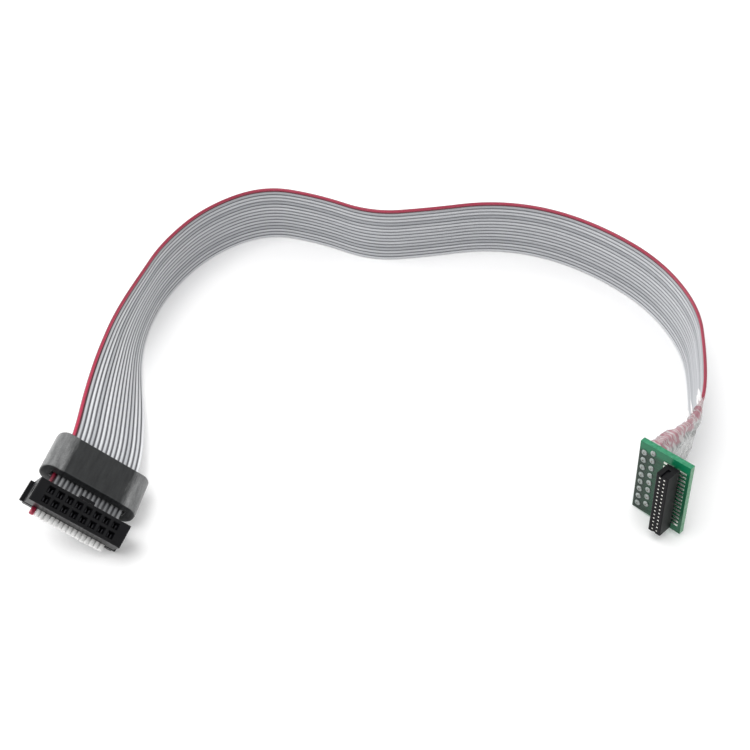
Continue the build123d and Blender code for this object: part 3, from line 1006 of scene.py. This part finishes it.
@dataclass
class BoardEnd:
    """The adapter board, its header and leads, solder joints, split wires and glue."""

    seat: Seat
    rows: RowTree
    ribbon: Ribbon
    wires: int = 16
    pitch: float = 1.27
    board_width: float = 14.8
    thickness: float = 1.6
    pad_edge: float = 1.5
    pad_gap: float = 2.54
    dome_radius: float = 0.84
    header_x: float = 3.25
    header_rows: int = 15
    lead_middle: float = 2.35
    skin: GlueSkin = GlueSkin()
    glue_length: float = 24.0
    pulls: tuple[tuple[float, float, float, float, float], ...] = (
        (0.05, 4.2, 0.62, 0.30, -0.40), (0.14, 2.8, 0.30, 0.55, -0.55),
        (0.34, 4.0, 0.24, 0.70, -0.80), (0.42, 3.2, 0.20, 0.45, -1.00),
        (0.56, 2.4, 0.34, 0.35, -0.60))

    @property
    def pad_x(self) -> tuple[float, float]:
        """The two pad columns' distances from the board's middle."""
        left = -self.board_width / 2 + self.pad_edge
        return left, left + self.pad_gap

    def build(self, nodes: dict[str, bpy.types.Object]) -> None:
        """Builds and dresses every piece of this end.

        Args:
            nodes: the carried-over nodes by name.
        """
        mask = SolderMaskBoard("Board_mask", self.seat, self.pitch * MM)
        dress(nodes["adapter_board"], mask.build())
        plastic = MouldedPlastic("Header_plastic", (0.001, 0.001, 0.002), (0.004, 0.004, 0.005),
                                 rough_low=0.36, rough_high=0.5, shine=0.14)
        housing = softened_copy(nodes["header_housing"], 0.0001)
        settle(new_piece("header_moulding", housing, plastic.build()), Slot.HEADER,
               "header_housing")
        tin = PlatedMetal("Lead_tin", (0.55, 0.54, 0.50), (0.88, 0.87, 0.83), 0.14, 0.3).build()
        for name, node in nodes.items():
            if name.startswith("header_contact"):
                dress(node, tin)
        self.lead_pads()
        self.solder()
        self.wire_tails()
        self.glue()

    def lead_pads(self) -> None:
        """The tinned lands under the header's two rows of feet."""
        tin = PlatedMetal("Land_tin", (0.26, 0.38, 0.31), (0.50, 0.62, 0.54), 0.2, 0.4,
                          0.3).build()
        step = self.seat.up * -self.pitch * MM
        top = (self.header_rows - 1) / 2 * self.pitch
        meshes = []
        for side in Side:
            x = self.header_x + side.value * self.lead_middle
            land = block((1.9, 0.72, 0.16), (x, top, 0.08), self.seat, 0.05)
            meshes.append(self.rows.row(land, self.header_rows, step, tin))
        settle(joined("lead_lands", meshes, tin), Slot.SOLDER)

    def solder(self) -> None:
        """The sixteen flat solder rings around the wire tips, in two staggered columns."""
        dull = PlatedMetal("Solder_bright", (0.22, 0.25, 0.24), (0.44, 0.47, 0.46), 0.3, 0.5,
                           0.3).build()
        meshes = []
        low = -(self.wires - 1) / 2 * self.pitch
        radius = self.dome_radius
        rings = [(0.0, 0.01), (radius, 0.01), (radius * 0.97, 0.08), (radius * 0.85, 0.2),
                 (radius * 0.62, 0.3), (radius * 0.42, 0.34), (radius * 0.3, 0.28), (0.0, 0.22)]
        for column, x in enumerate(self.pad_x):
            place = self.seat.moved(x, low + column * self.pitch, 0)
            dome = lathe(rings, 24, place)
            step = self.seat.up * 2 * self.pitch * MM
            loose = self.seat.up * 0.05 * MM
            meshes.append(self.rows.row(dome, self.wires // 2, step, dull, jitter=loose,
                                        seed=column + 2))
        settle(joined("solder_domes", meshes, dull), Slot.SOLDER, "solder_joints")

    def wire_tails(self) -> None:
        """The split wires between the ribbon's end and the board, the red one at the top."""
        grey = PlainVinyl("Split_wire_grey", (0.30, 0.30, 0.32), (0.46, 0.46, 0.48)).build()
        red = PlainVinyl("Split_wire_red", (0.30, 0.012, 0.04), (0.50, 0.03, 0.09)).build()
        tin = PlatedMetal("Wire_tin", (0.10, 0.09, 0.08), (0.30, 0.28, 0.24), 0.2, 0.4).build()
        shape = bmesh.new()
        last = len(self.ribbon.line) - 1
        across = self.ribbon.across[last]
        for wire in range(self.wires):
            offset = (wire - (self.wires - 1) / 2) * self.pitch * MM
            start = self.ribbon.line[last] + across * offset
            column = (self.wires - 1 - wire) % 2
            height = ((self.wires - 1) / 2 - wire) * self.pitch
            end = self.seat.at(self.pad_x[column], height, -self.thickness - 0.15)
            self.tube(shape, start, end, 0.44, 0 if wire else 1)
            tip = self.seat.at(self.pad_x[column], height, 0.3)
            self.tube(shape, end, tip, 0.24, 2)
        bmesh.ops.recalc_face_normals(shape, faces=shape.faces)
        mesh = bpy.data.meshes.new("split_wires")
        shape.to_mesh(mesh)
        shape.free()
        settle(new_piece("split_wires", mesh, grey, red, tin), Slot.WIRE, "wire_tails")

    def tube(self, shape: bmesh.types.BMesh, start: Vector, end: Vector, radius: float,
             finish: int, sides: int = 10, steps: int = 8) -> None:
        """Adds a closed round tube that eases from one point to the other.

        Args:
            shape: the mesh that it goes into.
            start: one end.
            end: the other end.
            radius: its radius in millimetres.
            finish: its material slot.
            sides: its faces around.
            steps: its faces along.
        """
        lead = self.seat.out
        depth = (end - start).dot(lead)
        sidestep = (end - start) - lead * depth
        one = self.seat.across
        two = self.seat.up
        rows = []
        for step in range(steps + 1):
            share = step / steps
            eased = share * share * (3 - 2 * share)
            middle = start + lead * depth * share + sidestep * eased
            rows.append([shape.verts.new(middle + (one * cos(2 * pi * k / sides)
                                                   + two * sin(2 * pi * k / sides)) * radius * MM)
                         for k in range(sides)])
        faces = [shape.faces.new(rows[0]), shape.faces.new(rows[-1])]
        for low, high in zip(rows, rows[1:]):
            for k in range(sides):
                after = (k + 1) % sides
                faces.append(shape.faces.new((low[k], low[after], high[after], high[k])))
        for face in faces:
            face.smooth = True
            face.material_index = finish

    def glue(self) -> None:
        """The glue: a lumpy skin around the ribbon's end that spreads on the board's back."""
        finish = MilkyGlue("Milky_glue").build()
        middles, acrosses = self.glue_line()
        shape = bmesh.new()
        sides = self.skin.sides
        rows = []
        count = len(middles)
        for index, (middle, across) in enumerate(zip(middles, acrosses)):
            before = middles[max(index - 1, 0)]
            after = middles[min(index + 1, count - 1)]
            ring = self.skin.ring(middle, (after - before).normalized(), across,
                                  index / (count - 1))
            rows.append([shape.verts.new(place) for place in ring])
        for low, high in zip(rows, rows[1:]):
            for step in range(sides):
                after_step = (step + 1) % sides
                shape.faces.new((low[step], low[after_step], high[after_step], high[step]))
        shape.faces.new(rows[0])
        shape.faces.new(rows[-1])
        bmesh.ops.triangulate(shape, faces=[face for face in shape.faces if len(face.verts) > 4])
        bmesh.ops.recalc_face_normals(shape, faces=shape.faces)
        for face in shape.faces:
            face.smooth = True
        mesh = bpy.data.meshes.new("glue")
        shape.to_mesh(mesh)
        shape.free()
        settle(new_piece("glue_skin", mesh, finish), Slot.GLUE, "sealant")
        self.glue_pulls(middles, acrosses)

    def glue_pulls(self, middles: list[Vector], acrosses: list[Vector]) -> None:
        """The torn flap and the pulled strings of glue along the ribbon's top edge.

        Args:
            middles: the glue's middle line.
            acrosses: its width directions.
        """
        white = PlainVinyl("Pulled_glue", (0.74, 0.73, 0.73), (0.93, 0.92, 0.92)).build()
        meshes = []
        for share, reach, radius, lean, side in self.pulls:
            index = int(share * (len(middles) - 2))
            run = (middles[index] - middles[index + 1]).normalized()
            rise = -acrosses[index]
            outward = run.cross(rise)
            out = (run + rise * lean + outward * side).normalized()
            root = middles[index] + (rise * 9.9 + outward * side * 1.2) * MM
            rings = [(0.0, -0.4), (radius, 0.0), (radius * 0.85, reach * 0.4),
                     (radius * 0.4, reach * 0.8), (0.0, reach)]
            meshes.append(lathe(rings, 10, Seat(root, out.cross(rise).normalized(), out)))
        settle(joined("glue_pulls", meshes, white), Slot.GLUE)

    def glue_line(self) -> tuple[list[Vector], list[Vector]]:
        """The middle line and width directions of the glue, from its far edge to the board."""
        line, across = self.ribbon.line, self.ribbon.across
        board = self.seat.at(sum(self.pad_x) / 2, 0, -self.thickness - 0.05)
        middles = [board]
        widths = [-self.seat.up]
        gap = (line[-1] - board)
        for share in (0.12, 0.3, 0.5, 0.7, 0.9):
            middles.append(board + gap * share)
            widths.append((-self.seat.up * (1 - share) + across[-1] * share).normalized())
        travelled = gap.length
        for index in range(len(line) - 1, 0, -1):
            middles.append(line[index].copy())
            widths.append(across[index])
            travelled += (line[index] - line[index - 1]).length
            if travelled > self.glue_length * MM:
                break
        middles.reverse()
        widths.reverse()
        return middles, widths


# ---------------------------------------------------------------- the studio


@dataclass
class Studio:
    """A pale floor, soft light from the upper left and the camera."""

    target: Vector = field(default_factory=lambda: Vector((0.00216, 0.0521, 0.0)))
    elevation: float = 45.0
    distance: float = 0.300
    lens: float = 48.0
    floor_size: float = 4.0
    surround: float = 0.62

    def build(self) -> None:
        """Sets up the floor, the lights, the world and the camera."""
        self.floor()
        self.area("Key", (-0.5, -0.25, 1.5), 1.3, 15.0)
        self.area("Fill", (0.8, -0.4, 1.3), 1.4, 3.0)
        self.area("Back", (0.1, 1.3, 1.2), 1.2, 4.5)
        self.area("Side", (-0.97, 0.55, 0.42), 0.6, 4.0)
        self.world()
        self.camera()
        bpy.context.scene.view_settings.view_transform = "Standard"

    def floor(self) -> None:
        """The table top."""
        half = self.floor_size / 2
        mesh = bpy.data.meshes.new("floor")
        mesh.from_pydata([(-half, -half, 0), (half, -half, 0), (half, half, 0), (-half, half, 0)],
                         [], [(0, 1, 2, 3)])
        new_piece("floor", mesh, PaleFloor("Pale_floor").build())

    def area(self, name: str, place: tuple[float, float, float], size: float,
             power: float) -> None:
        """Adds a square area light that looks at the target."""
        light = bpy.data.lights.new(name, "AREA")
        light.size = size
        light.energy = power
        lamp = bpy.data.objects.new(name, light)
        lamp.location = place
        lamp.rotation_euler = (self.target - lamp.location).to_track_quat("-Z", "Y").to_euler()
        bpy.context.scene.collection.objects.link(lamp)

    def world(self) -> None:
        """An even pale surround."""
        world = bpy.data.worlds.new("Studio")
        world.use_nodes = True
        tree = world.node_tree
        background = tree.nodes["Background"]
        background.inputs["Color"].default_value = (1.0, 1.0, 1.0, 1.0)
        rays = tree.nodes.new("ShaderNodeLightPath")
        strength = tree.nodes.new("ShaderNodeMapRange")
        strength.inputs["To Min"].default_value = self.surround
        strength.inputs["To Max"].default_value = 1.0
        tree.links.new(rays.outputs["Is Camera Ray"], strength.inputs["Value"])
        tree.links.new(strength.outputs["Result"], background.inputs["Strength"])
        bpy.context.scene.world = world

    def camera(self) -> None:
        """The camera at the viewing angle."""
        data = bpy.data.cameras.new("Camera")
        data.lens = self.lens
        data.sensor_width = 36.0
        data.clip_start = 0.01
        eye = bpy.data.objects.new("Camera", data)
        tilt = radians(self.elevation)
        eye.location = self.target + Vector((0, -cos(tilt), sin(tilt))) * self.distance
        eye.rotation_euler = (self.target - eye.location).to_track_quat("-Z", "Y").to_euler()
        bpy.context.scene.collection.objects.link(eye)
        bpy.context.scene.camera = eye


def main() -> None:
    """Builds the cable's looks around the frame."""
    logging.basicConfig(level=logging.INFO, format="%(name)s %(message)s")
    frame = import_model()
    nodes = frame["nodes"]
    record = frame["record"]
    rows = RowTree()
    Studio().build()
    grey = RibbonVinyl("Ribbon_grey", (0.34, 0.35, 0.37), (0.60, 0.61, 0.63)).build()
    red = RibbonVinyl("Ribbon_red", (0.27, 0.006, 0.032), (0.45, 0.016, 0.065)).build()
    ribbon = Ribbon()
    strip = settle(ribbon.build(grey, red), Slot.RIBBON, "ribbon_cable")
    socket_seat = Seat.from_mount(record, "socket_face", (0.791, -0.157, -0.591))
    socket = SocketEnd(socket_seat, rows)
    sleeve = socket.build(nodes)
    socket_seat.at(0, socket.half_width, -socket.crimp_depth)
    header_seat = Seat.from_mount(record, "header_face", (0.660, -0.740, 0.128))
    board = BoardEnd(header_seat, rows, ribbon)
    board.seat = header_seat.moved(-board.header_x, 0, -5.5)
    board.build(nodes)


if __name__ == "__main__":
    main()
